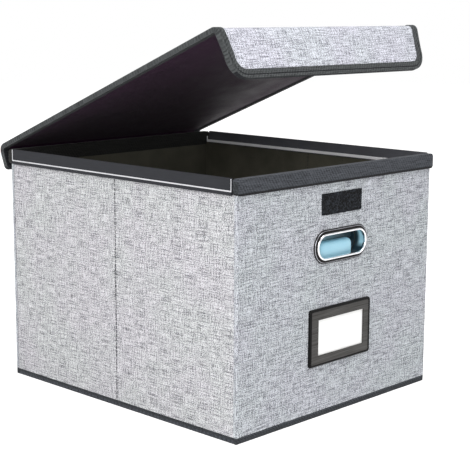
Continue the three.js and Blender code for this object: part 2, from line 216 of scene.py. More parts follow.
def finish_piece(piece, body, material, slot, stands_for=(), smooth=40, even=False):
    """Shades a piece smooth up to an angle, or evenly flat, and gives it its finish and body."""
    choose_only(piece)
    settle()
    bpy.ops.object.shade_smooth_by_angle(angle=math.radians(50 if even else smooth))
    if even:
        modify(piece, "WEIGHTED_NORMAL", keep_sharp=True, weight=90)
    piece.data.materials.clear()
    piece.data.materials.append(finishes[material])
    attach(piece, body)
    if stands_for:
        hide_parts(*stands_for)


# Material building
def full_colour(shade):
    """Blender's own colour for a grey from 0 to 1, or for a colour read on a screen, 0 to 255."""
    def linear(value):
        value /= 255
        return value / 12.92 if value <= 0.04045 else ((value + 0.055) / 1.055) ** 2.4
    if hasattr(shade, "__len__"):
        return (*[linear(value) for value in shade], 1)
    return (shade, shade, shade, 1)


class Look:
    """The nodes of a material, or of another owner, put together by short calls."""

    def __init__(self, name, owner=None, shader="Principled BSDF", **surface):
        self.owner = finishes[name] = owner or bpy.data.materials.new(name)
        self.owner.use_nodes = True
        self.nodes = self.owner.node_tree.nodes
        self.surface = self.nodes[shader]
        self.fill(self.surface, surface)

    def feed(self, value, socket):
        """Links a value that comes from a node, and sets any other."""
        if hasattr(value, "is_linked"):
            self.owner.node_tree.links.new(value, socket)
        else:
            socket.default_value = value

    def fill(self, node, inputs):
        for socket, value in inputs.items():
            self.feed(value, node.inputs[socket.replace("_", " ")])
        return node

    def add(self, kind, **inputs):
        return self.fill(self.nodes.new("ShaderNode" + kind), inputs)

    def map(self, vector, **changes):
        return self.add("Mapping", Vector=vector, **changes).outputs["Vector"]

    def place(self, kind="Object", scale=(1, 1, 1), turned=0, start=(0, 0, 0)):
        """Coordinates in millimetres from a start, stretched by a scale in each direction."""
        return self.map(
            self.add("TexCoord").outputs[kind],
            Location=[-step for step in start],
            Scale=[1000 * step for step in scale],
            Rotation=[math.radians(turned)] * 3,
        )

    def along_axis(self, vector, index):
        """One of a vector's three coordinates."""
        return self.add("SeparateXYZ", Vector=vector).outputs[index]

    def fade(self, value, start, stop):
        """0 below start, 1 above stop, an even slope between."""
        return self.add("MapRange", Value=value, From_Min=start, From_Max=stop).outputs["Result"]

    def noise(self, vector, size, detail, roughness=0.5, distortion=0.0):
        """Soft noise whose blotches are about size across."""
        feel = {"Detail": detail, "Roughness": roughness, "Distortion": distortion}
        return self.add("TexNoise", Vector=vector, Scale=1 / size, **feel).outputs["Fac"]

    def threads(self, vector, pitch, direction, wander=0.0):
        """Rounded parallel threads, from 0 between them to 1 on their crests."""
        feel = {"Distortion": wander, "Detail": 1, "Detail_Scale": 0.4}
        node = self.add("TexWave", Vector=vector, Scale=math.pi / (10 * pitch), **feel)
        node.bands_direction = direction
        return node.outputs["Fac"]

    def math(self, operation, first, second=0.0):
        node = self.add("Math")
        node.operation = operation
        self.feed(first, node.inputs[0])
        self.feed(second, node.inputs[1])
        return node.outputs[0]

    def ramp(self, value, *stops):
        """Turns a value into a colour or a grey. Each stop is (place, colour or grey)."""
        node = self.add("ValToRGB", Fac=value)
        band = node.color_ramp
        while len(band.elements) < len(stops):
            band.elements.new(0.5)
        for element, (place, shade) in zip(band.elements, stops):
            element.position = place
            element.color = full_colour(shade)
        return node.outputs["Color"]

    def mix(self, share, first, second, blend="MIX"):
        node = self.add("Mix")
        node.data_type = "RGBA"
        node.blend_type = blend
        self.feed(share, node.inputs[0])
        for shade, socket in ((first, node.inputs[6]), (second, node.inputs[7])):
            self.feed(full_colour(shade) if hasattr(shade, "__len__") else shade, socket)
        return node.outputs[2]

    def colour(self, value):
        self.feed(value, self.surface.inputs["Base Color"])

    def shade(self, tone, dark, light, start=0.3, stop=0.7):
        """Colours the surface from dark to light as the tone rises."""
        self.colour(self.ramp(tone, (start, dark), (stop, light)))

    def rough(self, tone, least, most):
        """Makes the surface rougher as the tone rises."""
        self.feed(self.ramp(tone, (0.3, least), (0.7, most)), self.surface.inputs["Roughness"])

    def relief(self, height, depth):
        """Raises the surface by up to depth, in millimetres."""
        node = self.add("Bump", Distance=depth * mm, Strength=1, Height=height)
        self.feed(node.outputs["Normal"], self.surface.inputs["Normal"])

    def show_to_rays(self, kinds, shown, output):
        """Shows another shader to rays of some kinds, and the usual one to all others."""
        rays = self.add("LightPath")
        seen = rays.outputs[kinds[0]]
        for kind in kinds[1:]:
            seen = self.math("MAXIMUM", seen, rays.outputs[kind])
        chooser = self.add("MixShader")
        for number, source in enumerate((seen, self.surface.outputs[0], shown.outputs[0])):
            self.feed(source, chooser.inputs[number])
        self.feed(chooser.outputs[0], self.nodes[output].inputs["Surface"])


# Fabrics
def make_linen(name, across, up, painted_light_cast, start=(0, 0, 0), kind="Object"):
    """Heathered linen look: a fine grain, with longer light and dark yarns crossing it.

    across and up say which coordinate runs along the weft and which along the warp.
    """
    soft = dict(Roughness=0.95, Specular_IOR_Level=0.2, Sheen_Weight=0.04, Sheen_Roughness=0.6)
    look = Look(name, **soft)
    plain = look.place(kind, start=start)
    grain, weft, warp = [1.3] * 3, [1.2] * 3, [0.75] * 3
    grain[across] = 0.75
    weft[across] = 0.05
    warp[up] = 0.08
    fine = look.noise(look.map(plain, Scale=grain), 1.0, 1)
    fine_tone = look.ramp(fine, (0.36, 0), (0.64, 1))
    weft_runs = look.noise(look.map(plain, Scale=weft), 0.95, 1)
    warp_runs = look.noise(look.map(plain, Scale=warp), 0.95, 1)
    weft_tone = look.ramp(weft_runs, (0.35, 0), (0.65, 1))
    warp_tone = look.ramp(warp_runs, (0.35, 0), (0.65, 1))
    cloth = look.ramp(
        look.mix(0.52, look.mix(0.43, weft_tone, warp_tone), fine_tone),
        (0.0, (40, 40, 44)),
        (0.3, (138, 138, 141)),
        (0.5, (200, 200, 202)),
        (0.7, (240, 240, 241)),
        (1.0, (255, 255, 255)),
    )
    slubs = look.ramp(weft_runs, (0.3, 1), (0.36, 0))
    thick_ends = look.ramp(warp_runs, (0.3, 0.8), (0.35, 0))
    dark = look.math("MULTIPLY", look.math("MAXIMUM", slubs, thick_ends), 0.6)
    cloth = look.mix(dark, cloth, (112, 112, 118))
    clouds = look.noise(plain, 70, 2)
    tint = look.ramp(clouds, (0.38, (252, 250, 254)), (0.62, (250, 252, 252)))
    cloth = look.mix(1, cloth, tint, "MULTIPLY")
    look.colour(look.mix(1, cloth, painted_light_cast, "MULTIPLY"))
    upright, level = [look.threads(plain, 0.9, "XYZ"[axis], wander=0.6) for axis in (across, up)]
    look.relief(look.mix(0.5, look.math("MULTIPLY", upright, level), weft_tone), 0.15)


def make_tape(name, across, up, dark, light, kind="Object", painted_shade_below=None):
    """Dark woven tape with fine ribs and a slanting twill. Below a given height it is painted
    black, as painted shade under a turned edge.
    """
    fuzzy = dict(Roughness=0.9, Specular_IOR_Level=0.2, Sheen_Weight=0.05, Sheen_Roughness=0.5)
    look = Look("woven_tape_" + name, **fuzzy)
    plain = look.place(kind)
    lean = [0, 0, 0]
    lean[3 - across - up] = math.radians(35)
    twill = look.threads(look.map(plain, Rotation=lean), 3.3, "XYZ"[across], wander=3.0)
    ribs = look.threads(plain, 2.1, "XYZ"[up], wander=2.6)
    fuzz = look.noise(plain, 1.6, 3, 0.7)
    stretched = [0.7] * 3
    stretched[across] = 0.08
    yarns = look.noise(look.map(plain, Scale=stretched), 1.0, 2)
    tone = look.mix(0.8, look.mix(0.35, twill, ribs), fuzz)
    woven = look.ramp(look.mix(0.3, tone, yarns), (0.36, dark), (0.64, light))
    if painted_shade_below is not None:
        # Painted shade: below this height the tape turns near-black, for the shadow under the
        # trim's lower edge.
        upper = look.fade(look.along_axis(plain, 2), painted_shade_below, painted_shade_below + 0.7)
        woven = look.mix(upper, (12, 13, 15), woven)
    look.colour(woven)
    look.relief(look.mix(0.4, look.mix(0.5, twill, ribs), fuzz), 0.18)


def make_flecked(name, colours, fine, broad, share, depth, rough=(), scale=(1, 1, 1), **surface):
    """Fine flecks over broad clouds, with the size, detail and so on of each.

    colours are the dark and the light one, and the tones where they start if not 0.3 and 0.7.
    """
    look = Look(name, **surface)
    flecks = look.noise(look.place(scale=scale), *fine)
    clouds = look.noise(look.place(), *broad)
    look.shade(look.mix(share, flecks, clouds), *colours)
    if rough:
        look.rough(clouds, *rough)
    look.relief(flecks, depth)


def make_lining(name, deep, raised, gloss):
    """Dark non-woven lining with a fibrous surface and a soft sheen."""
    look = dict(rough=(0.5, 0.65), Specular_IOR_Level=gloss, Sheen_Weight=0.03)
    make_flecked(name, (deep, raised), (0.9, 4, 0.7, 1.5), (28, 3), 0.5, 0.1, **look)


def make_thread(name, colour, shade):
    """Twisted sewing thread."""
    look = Look(name, Roughness=0.75, Specular_IOR_Level=0.3)
    twist = look.threads(look.place(turned=35), 0.45, "DIAGONAL")
    fluff = look.noise(look.place(), 0.4, 3)
    look.shade(look.mix(0.4, twist, fluff), shade, colour, 0.2, 0.8)
    look.relief(twist, 0.08)


# Plastics and metals
def make_plastic(name, colour, shade, roughness, grain=0.05, gloss=0.5):
    """Extruded or moulded plastic with a faint drawn grain along its length."""
    look = dict(rough=(roughness - 0.06, roughness + 0.06), Specular_IOR_Level=gloss)
    drawn, scale = (0.7, 3, 0.6), (1, 0.03, 1)
    make_flecked(name, (shade, colour), drawn, (17, 3), 0.5, grain, scale=scale, **look)


def make_moulding_with_painted_shade(name, face):
    """The hand hole's moulding: pale blue near its mouth and its top, and painted shade, a dark
    smoky blue, further in and lower down.

    face is how far the wall's outer face stands from the frame's origin, in millimetres.
    """
    look = Look(name, Specular_IOR_Level=0.4)
    plain = look.place()
    from_origin = look.math("ABSOLUTE", look.along_axis(plain, 1))
    depth = look.math("SUBTRACT", face, from_origin)
    mouth = look.math("SUBTRACT", 1.0, look.fade(depth, 6.0, 9.5))
    upper = look.fade(look.along_axis(plain, 2), 176.5, 181.5)
    clouds = look.noise(plain, 9, 3)
    pale = look.ramp(clouds, (0.3, (160, 214, 232)), (0.7, (184, 226, 240)))
    shaded_blue = look.ramp(clouds, (0.3, (30, 50, 58)), (0.7, (44, 66, 75)))
    # Painted shade: the moulding darkens deeper in the hole and below its top, where shade falls.
    look.colour(look.mix(look.math("MULTIPLY", mouth, upper), shaded_blue, pale))
    look.rough(clouds, 0.3, 0.38)
    look.relief(clouds, 0.02)


def make_web_painted_light():
    """Thin film with painted light and shade: pale at one end and dark at the other."""
    look = Look("web_painted_light", Specular_IOR_Level=0.3)
    plain = look.place()
    clouds = look.noise(plain, 8, 3)
    run = look.fade(look.along_axis(plain, 0), -34.0, 30.0)
    stops = ((0.1, (132, 164, 174)), (0.5, (84, 112, 122)), (0.85, (30, 46, 54)))
    look.colour(look.ramp(look.mix(0.2, run, clouds), *stops))
    look.rough(clouds, 0.35, 0.45)
    look.relief(clouds, 0.05)


def make_chrome(name, shade, colour):
    """Plated metal with hairline scratches and a faint haze."""
    look = Look(name, Metallic=1)
    plain = look.place()
    haze = look.noise(plain, 12, 3)
    scratches = look.noise(look.map(plain, Scale=(0.15, 1.0, 2.2)), 0.5, 2)
    look.shade(haze, shade, colour)
    look.rough(look.mix(0.4, haze, scratches), 0.07, 0.16)
    look.relief(scratches, 0.01)


def make_lacquered_metal():
    """Dark grey-brown lacquer over brushed metal."""
    look = Look("label_metal", Metallic=0.2, Specular_IOR_Level=0.15)
    plain = look.place()
    speckle = look.noise(plain, 0.6, 4, 0.7)
    clouds = look.noise(plain, 9, 3)
    tone = look.mix(0.4, clouds, speckle)
    lacquer = look.ramp(tone, (0.3, (50, 47, 44)), (0.7, (70, 67, 63)))
    brushed = look.noise(look.map(plain, Scale=(0.02, 1.0, 1.4)), 0.9, 3)
    look.colour(look.mix(0.5, lacquer, look.ramp(brushed, (0.35, 0.012), (0.7, 0.11))))
    look.rough(clouds, 0.4, 0.52)
    look.relief(speckle, 0.03)


# Painted light: the three casts make the same linen darker and cooler on the front wall and
# lighter on the lid, as light falls on them.
make_linen("linen_front", 0, 2, (219, 223, 226), (0, -190.5, 0))
make_linen("linen_side", 1, 2, (228, 228, 228), (-160, 0, 0))
make_linen("linen_lid", 0, 1, (239, 241, 248), kind="UV")
greys = (27, 29, 33), (77, 80, 86)
foot_greys = (28, 30, 33), (62, 65, 69)
# The front trim's tape is painted black along its foot, as painted shade under its turned edge.
make_tape("front", 0, 2, *greys, painted_shade_below=255.2)
make_tape("ends", 1, 2, (22, 24, 26), (58, 61, 64))
make_tape("hinge", 0, 2, *greys)
# The rear trim's tape is a darker copy of the front's: painted shade, where the lid shades it.
make_tape("rear", 0, 2, (20, 20, 19), (46, 46, 45))
make_tape("foot", 0, 2, *foot_greys)
make_tape("side", 1, 2, *foot_greys)
make_tape("floor", 0, 1, *greys)
make_tape("lid", 0, 1, (27, 29, 30), (84, 87, 88), "UV")
# A darker copy of the lid's tape: painted shade for the tape's inner leg under the lid.
make_tape("lid_inside", 0, 1, (14, 15, 17), (34, 36, 40), "UV")
# Painted light: the box lining is lifted well above the lid lining's near-black, standing in for
# light that the shaded inside of the box lacks.
make_lining("box_lining", (62, 61, 52), (90, 88, 77), 0.2)
make_lining("lid_lining", (30, 10, 29), (46, 22, 44), 0.06)
make_thread("lining_thread", (84, 82, 74), (52, 50, 45))
make_thread("dark_thread", (50, 50, 55), (20, 20, 23))
# Near-black thread for the trims' real stitching, so dark that it also stands as painted shade
# along the trims' lower edges and inside.
make_thread("near_black_thread_as_shade", (26, 26, 29), (10, 10, 12))
make_thread("tape_thread", (96, 100, 108), (58, 61, 67))
# Pressed grey board
make_flecked(
    "greyboard", ((112, 107, 99), (156, 150, 139)), (0.8, 4, 0.75), (11, 2), 0.35, 0.12,
    Roughness=0.9, Specular_IOR_Level=0.2,
)
# The short black pile of a hook-and-loop patch
make_flecked(
    "patch_pile", ((1, 1, 2), (42, 46, 52), 0.47, 0.6), (1.9, 3, 0.7), (3.5, 2), 0.25, 0.5,
    Roughness=0.95, Specular_IOR_Level=0.15, Sheen_Weight=0.06, Sheen_Roughness=0.4,
)
make_plastic("rail_plastic", (44, 45, 49), (33, 34, 38), 0.55, gloss=0.15)
# A lighter copy of the rail plastic: painted light for the rails' inner faces, which the lid
# shades.
make_plastic("rail_inside_painted_light", (88, 89, 94), (74, 75, 80), 0.5, gloss=0.3)
make_plastic("rail_lip_plastic", (216, 216, 219), (196, 196, 200), 0.3)
# The inner lip's whiter copy of the lip plastic is painted light, where the lid shades it.
make_plastic("rail_inner_lip_painted_light", (250, 250, 251), (240, 240, 243), 0.25)
# Near-black plastic for the ring under the bezel: painted shade for the bezel's dark edges.
make_plastic("bezel_edge_painted_shade", (22, 21, 21), (12, 12, 12), 0.6, gloss=0.15)
make_plastic("blue_moulding", (180, 224, 240), (148, 208, 231), 0.32, 0.02)
# A dark copy of the blue moulding for the sleeve deep in the hole: painted shade.
make_plastic("blue_moulding_painted_shade", (40, 62, 71), (28, 47, 56), 0.35, 0.02)
make_moulding_with_painted_shade("front_shell_blue", 190.58)
make_moulding_with_painted_shade("rear_shell_blue", 175.42)
make_web_painted_light()
make_chrome("chrome", (214, 214, 217), (240, 240, 242))
make_chrome("bead_chrome", (132, 132, 137), (158, 158, 163))
make_lacquered_metal()
make_plastic("black_lacquer", (13, 13, 13), (7, 7, 7), 0.32, gloss=0.1)
whites = (246, 246, 244), (254, 254, 253)
make_flecked("card_paper", whites, (0.5, 4, 0.7), (15, 2), 0.4, 0.02, Roughness=0.8)


def dress(material, *names):
    """Gives CAD nodes a material in place of their plain one."""
    for name in names:
        for slot in nodes[name].material_slots:
            slot.material = finishes[material]


boards = [name for name in nodes if name.endswith("_board") and not name.startswith("lid")]
dress("greyboard", *boards)
dress("card_paper", "label_card")


# Cloth drawn over the boards
def face_and_back(low, high, outward):
    """Where a piece of an end wall faces outwards, and where it faces into the box."""
    return (low.y, high.y) if outward < 0 else (high.y, low.y)


def start_cloth(node, name):
    """A block in the place of a solid, and the solid's lowest and highest corner."""
    low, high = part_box(node)
    return start_block(name, low, high), low, high


def make_side_cloth(node, name, body, material, slot, outer, rounding):
    """Cloth glued flat on one leaf of a side wall and rolled in at its two upright edges."""
    piece, low, high = start_cloth(node, name)
    left = low.x < 0
    face = low.x if left == outer else high.x
    round_edges(piece, lambda middle, run: along(run, 2) and same(middle.x, face), rounding)
    finish_piece(piece, body, material, slot, [node], even=True)


def make_floor_cloth(node, body):
    piece, low, high = start_cloth(node, node + "_cloth")
    round_edges(piece, lambda middle, run: same(middle.z, high.z), 0.4, 2)
    finish_piece(piece, body, "box_lining", "lining", [node], even=True)


handle_middle = 185.4
handle_width = 90.0
handle_height = 36.6
handle_corner = 18.2
handle_band = 6.4
hole_margin = 2.7
cover_thickness = 1.2
cover_corner = 1.5


def start_handle_outline(name, face, margin):
    """A standing plate with the handle's rounded outline, drawn in by a margin."""
    width = (handle_width - 2 * margin) * mm
    height = (handle_height - 2 * margin) * mm
    piece = start_plate(name, width, height, (0, face * mm, handle_middle * mm))
    round_corners(handle_corner - margin, 12)
    choose_all()
    bpy.ops.mesh.remove_doubles(threshold=0.35 * mm)
    return piece


def carve_handle(piece):
    """Cuts the hand hole through a wall's cloth."""
    cutter = start_handle_outline("handle_cutter", -250, hole_margin)
    bpy.ops.mesh.extrude_region_move(TRANSFORM_OT_translate={"value": (0, 0.5, 0)})
    face_outward()
    carve(piece, cutter)


def make_end_cover(node, name, body, outward):
    """The front or rear cover: cloth drawn over the board and round its two upright edges."""
    piece, low, high = start_cloth(node, name)
    face, back = face_and_back(low, high, outward)
    outer_corner = lambda middle, run: along(run, 2) and same(middle.y, face)
    round_edges(piece, outer_corner, cover_corner)
    pick_faces(piece, lambda middle, normal: same(middle.y, back) or abs(normal.z) > 0.9)
    bpy.ops.mesh.delete(type="FACE")
    thicken(piece, cover_thickness)
    carve_handle(piece)
    finish_piece(piece, body, "linen_front", "linen", [node], even=True)


def make_end_lining(node, body):
    piece, low, high = start_cloth(node, node + "_cloth")
    carve_handle(piece)
    finish_piece(piece, body, "box_lining", "lining", [node])


for leaf in leaves:
    cover, lining = leaf + "_cover", leaf + "_lining"
    make_side_cloth(cover, leaf + "_linen", leaf, "linen_side", "linen", True, 1.0)
    make_side_cloth(lining, lining + "_cloth", leaf, "box_lining", "lining", False, 0.6)
for end, outward in ends:
    make_end_cover(end + "_cover", end + "_linen", end + "_wall", outward)
    make_end_lining(end + "_lining", end + "_wall")
    make_floor_cloth("floor_" + end + "_lining", "floor_" + end)


# Woven tape folded over the edges of the boards
trim_drawn_in = 1.4
tape_slice = 12
groove_overrun = 5
groove_play = 0.05


def make_folded_tape(node, body, groove_low, groove_high, rounding, end_rounding, material):
    """Tape folded over a board's edge: a soft, slightly uneven block with a groove in it."""
    low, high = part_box(node)
    if node.endswith("_trim"):
        low.x += trim_drawn_in * mm
        high.x -= trim_drawn_in * mm
    piece = start_block(node + "_cloth", low, high)
    lengthwise = 0 if high.x - low.x > high.y - low.y else 1
    crosswise = 1 - lengthwise
    length = high[lengthwise] - low[lengthwise]
    count = round(length / (tape_slice * mm))
    step = length / count
    if end_rounding:
        round_edges(piece, lambda middle, run: along(run, crosswise), end_rounding, 6)
    faces = (low[crosswise], high[crosswise])
    pick_edges(piece, lambda middle, run: any(same(middle[crosswise], face) for face in faces))
    round_chosen_edges(rounding, 4)
    slice_rows([low[lengthwise] + step * number for number in range(1, count)], lengthwise)
    choose_all()
    bpy.ops.transform.vertex_random(offset=0.12 * mm, uniform=0.2, normal=0.8, seed=7)
    carve_block(piece, groove_low, groove_high)
    finish_piece(piece, body, material, "woven_tape", [node])


def fold_trim(end, material):
    """The trim on an end wall's top edge. Its groove takes the cover, board and lining."""
    cover_low, cover_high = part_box(end + "_cover")
    lining_low, lining_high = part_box(end + "_lining")
    node = end + "_trim"
    near = min(cover_low.y, lining_low.y) - groove_play * mm
    far = max(cover_high.y, lining_high.y) + groove_play * mm
    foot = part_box(node)[0].z - groove_overrun * mm
    low = Vector((cover_low.x - 0.2 * mm, near, foot))
    high = Vector((cover_high.x + 0.2 * mm, far, cover_high.z + 0.1 * mm))
    make_folded_tape(node, end + "_wall", low, high, 1.3, 3.4, material)


def make_trim_end(end, side, sign, material):
    """The tape's cut end, folded over the end of a trim."""
    low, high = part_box(end + "_trim")
    face = sign * (high.x - trim_drawn_in * mm)
    near, far = sorted((face - sign * 0.6 * mm, face + sign * 0.35 * mm))
    low = (near, low.y + 0.7 * mm, low.z + 2.6 * mm)
    high = (far, high.y - 0.7 * mm, high.z - 2.6 * mm)
    fold = start_block(end + "_trim_fold_" + side, low, high)
    outside = far if sign > 0 else near
    round_edges(fold, lambda middle, run: along(run, 1), 0.4, 3)
    round_edges(fold, lambda middle, run: same(middle.x, outside), 0.3, 2)
    finish_piece(fold, end + "_wall", material, "woven_tape")


def bind_foot(part, body, overrun, material):
    """The binding round a board's lower edge. Its groove runs past both of its ends by overrun."""
    node = part + "_foot_binding"
    low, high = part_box(part + "_board")
    low.y -= overrun * mm
    low.z -= groove_play * mm
    high.y += overrun * mm
    high.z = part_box(node)[1].z + groove_overrun * mm
    make_folded_tape(node, body, low, high, 0.5, 0, material)


def copy_solid(node, name, rounding):
    """A copy of a solid with its facets joined and its edges rounded off."""
    piece = bpy.data.objects.new(name, nodes[node].data.copy())
    bpy.context.collection.objects.link(piece)
    edit(piece)
    bpy.ops.mesh.remove_doubles(threshold=0.005 * mm)
    bpy.ops.mesh.dissolve_limited(angle_limit=math.radians(1))
    soften(piece, rounding, 2)
    return piece


# The rear trim and its end folds take that darker tape, as painted shade.
for end, trim_tape, fold_tape in (("front", "front", "ends"), ("rear", "rear", "rear")):
    fold_trim(end, "woven_tape_" + trim_tape)
    for side, sign in sides:
        make_trim_end(end, side, sign, "woven_tape_" + fold_tape)
    bind_foot(end, end + "_wall", 0, "woven_tape_foot")
for leaf in leaves:
    bind_foot(leaf, leaf, groove_overrun, "woven_tape_side")
strip = copy_solid("lid_hinge_strip", "lid_hinge_cloth", 0.5)
finish_piece(strip, "rear_wall", "woven_tape_hinge", "woven_tape", ["lid_hinge_strip"])
for half in ("floor_rear", "floor_front"):
    underside = copy_solid(half + "_fabric", half + "_cloth", 0.2)
    finish_piece(underside, half, "woven_tape_floor", "woven_tape", [half + "_fabric"])


# The rails over the side walls, with a pale lip along each side
wall_side = 160.3
ledge_face = 160.9
rail_reach = 2.1
lip_reach = 2.0


def make_rail(side, sign):
    """A plastic channel on a side wall: a fin outside, a bead below it and a ledge inside.

    Its sections are in millimetres, out from the box's middle and up from the floor.
    """
    body = side + "_rail"
    rail_low, rail_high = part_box(body)
    fin_reach = Vector((0, rail_reach * mm, 0))

    def section(inside, outside, foot, top, longer=0.0):
        near, far = sorted((sign * inside * mm, sign * outside * mm))
        low = Vector((near, rail_low.y - longer * mm, foot * mm))
        high = Vector((far, rail_high.y + longer * mm, top * mm))
        return low, high

    # Only the fin and the bead reach the trims; the ledge stops short of them
    bar = start_block(side + "_rail_bar", rail_low - fin_reach, rail_high + fin_reach)
    for edge, run in ((rail_low.y, -5 * mm), (rail_high.y, 5 * mm)):
        low, high = section(150, wall_side, 250, 275)
        low.y, high.y = sorted((edge, edge + run))
        carve_block(bar, low, high)
    for inside, outside, foot, top in (
        (162.5, 166, 256.8, 275),  # outside the fin, above the bead
        (150, wall_side, 258.4, 275),  # inside the fin, above the ledge
        (150, wall_side, 250, 255.6),  # inside the fin, below the ledge
    ):
        carve_block(bar, *section(inside, outside, foot, top, 5))
    soften(bar, 0.45, 3)
    finish_piece(bar, body, "rail_plastic", "rail_plastic", [body], even=True)
    # Painted light: the inner faces of the fin and the ledge take the lighter copy, for light that
    # the lid keeps off them.
    bar.data.materials.append(finishes["rail_inside_painted_light"])
    for polygon in bar.data.polygons:
        inner = sign * polygon.center.x < ledge_face * mm and sign * polygon.normal.x < 0.8
        if inner and polygon.center.z > 256 * mm:
            polygon.material_index = 1

    # Each lip lies along the rail and turns up at its ends by a riser, if it has one there
    # The inner lip takes the whiter copy, as painted light.
    for name, inside, outside, foot, top, width, reach, risers, material in (
        ("outer_lip", 162.3, 163.3, 256.7, 269.9, 1.4, lip_reach, (0.5, 0.6), "rail_lip_plastic"),
        ("inner_lip", 154.0, 155.4, 256.6, 264.0, 3.3, 0.1, (None, 0.6), "rail_inner_lip_painted_light"),
    ):
        lip = start_block(side + "_rail_" + name, *section(inside, outside, foot, top, reach))
        low, high = section(inside - 1, outside + 1, foot + width, top + 5, 5)
        front_riser, rear_riser = risers
        if front_riser is not None:
            low.y = rail_low.y - (reach - front_riser) * mm
        high.y = rail_high.y + (reach - rear_riser) * mm
        carve_block(lip, low, high)
        soften(lip, 0.3, 3)
        finish_piece(lip, body, material, "chrome", even=True)


for side, sign in sides:
    make_rail(side, sign)


# The handles
def draw_rim_back(piece, back):
    """Draws a stepped plate's open rim straight back."""
    pick(piece, "EDGE", lambda edge: edge.is_boundary)
    bpy.ops.mesh.extrude_edges_move(TRANSFORM_OT_translate={"value": (0, 0, 0)})
    bpy.ops.transform.resize(value=(1, 0, 1), center_override=(0, back, 0))


def close_ring(piece, back):
    """Takes out the middle of a stepped plate and closes the ring behind it."""
    bpy.ops.mesh.delete(type="FACE")
    draw_rim_back(piece, back)
    bpy.ops.mesh.bridge_edge_loops()
    face_outward()


def close_plate(piece, back):
    """Closes a stepped plate behind."""
    draw_rim_back(piece, back)
    bpy.ops.mesh.edge_face_add()
    face_outward()


def make_handle_ring(name, face, margin, profile):
    """A ring round the hand hole with a stepped profile, from its outer edge inwards."""
    ring = start_handle_outline(name, face, margin)
    step_in(profile)
    close_ring(ring, 0)
    return ring


def make_handle_tube(name, start, depth, margin):
    """An open tube with the handle's outline, running in from a start."""
    tube = start_handle_outline(name, start, margin)
    bpy.ops.mesh.extrude_region_move(TRANSFORM_OT_translate={"value": (0, depth * mm, 0)})
    pick_faces(tube, lambda middle, normal: abs(normal.y) > 0.9)
    bpy.ops.mesh.delete(type="ONLY_FACE")
    face_outward()
    thicken(tube, 1.2, side=1)
    return tube


# The black ring shows outside the bead and between the bead and the chrome ring, as painted shade.
shade_ring_profile = ((0.25, 0.25), (1.75, 0.0), (0.15, 0.6), (1.95, 0.8), (0.4, -0.2))
bead_profile = ((0.1, 0.5), (0.3, 0.35), (0.25, 0.0), (0.3, -0.35), (0.1, -0.5))
ring_profile = (
    (0.05, 1.3), (0.25, 0.7), (0.4, 0.35), (0.7, 0.1), (0.55, -0.15), (0.3, -0.5), (0.25, -1.6),
)
shell_margin = handle_band - 1.9
guard_face = 5.4


def make_handle(end, outward):
    """A chrome ring and a thin bead round it, with a black ring between and round them as painted
    shade, and a blue liner behind.

    All of it is made as for a front wall whose face is at y = 0, then carried to its own wall.
    """
    body = end + "_wall"
    wall = face_and_back(*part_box(end + "_cover"), outward)[0]
    shade_ring = make_handle_ring(end + "_bezel_shade_ring", -0.8, 0.0, shade_ring_profile)
    bead = make_handle_ring(end + "_bezel_bead", -0.9, 0.8, bead_profile)
    ring = make_handle_ring(end + "_bezel_ring", -0.9, 3.9, ring_profile)
    shell = make_handle_tube(end + "_handle_shell", -0.3, 12.8, shell_margin)
    # The sleeve deep in the hole carries a dark copy of the blue, as painted shade.
    sleeve = make_handle_tube(end + "_handle_sleeve", 12.4, 6.4, handle_band + 0.6)

    foot = handle_middle - handle_height / 2 + shell_margin
    low, high = Vector((-27, guard_face, foot)), Vector((27, 12.4, foot + 17))
    guard = start_block(end + "_finger_guard", low * mm, high * mm)
    front = lambda middle, run: same(middle.y, guard_face * mm) and middle.z > (foot + 1) * mm
    round_edges(guard, lambda middle, run: along(run, 1) and middle.z > (foot + 10) * mm, 6.5, 8)
    round_edges(guard, front, 4.2, 6)

    # A plate behind the guard that carries painted light and shade across the hole.
    centre = Vector((-2, 13.4, foot + 20.4)) * mm
    web = start_plate(end + "_guard_web", 72 * mm, 11 * mm, centre)
    pick_points(web, lambda x, y, z: x > 0)
    round_corners(4, 6)
    choose_all()
    step_in(((0.2, 0.2), (1.2, 0.25)))
    close_plate(web, 14.2 * mm)

    for piece, material, slot, stands_for in (
        (shade_ring, "bezel_edge_painted_shade", "rail_plastic", []),
        (bead, "bead_chrome", "chrome", []),
        (ring, "chrome", "chrome", [end + "_bezel"]),
        (shell, end + "_shell_blue", "blue_moulding", [end + "_handle_liner"]),
        (sleeve, "blue_moulding_painted_shade", "blue_moulding", []),
        (guard, "blue_moulding", "blue_moulding", []),
        (web, "web_painted_light", "blue_moulding", []),
    ):
        if outward > 0:
            piece.rotation_euler = (0, 0, math.pi)
        piece.location = (0, wall, 0)
        finish_piece(piece, body, material, slot, stands_for, smooth=50)


for end, outward in ends:
    make_handle(end, outward)


# The label frame: a rounded dark rim round a brushed face, with a slot above for the card
rim_profile = (
    (0.25, 0.9), (0.45, 0.8), (0.6, 0.5), (0.5, 0.2), (0.5, 0.0), (0.4, -0.4), (0.2, -1.0),
)
rim_width = 2.7


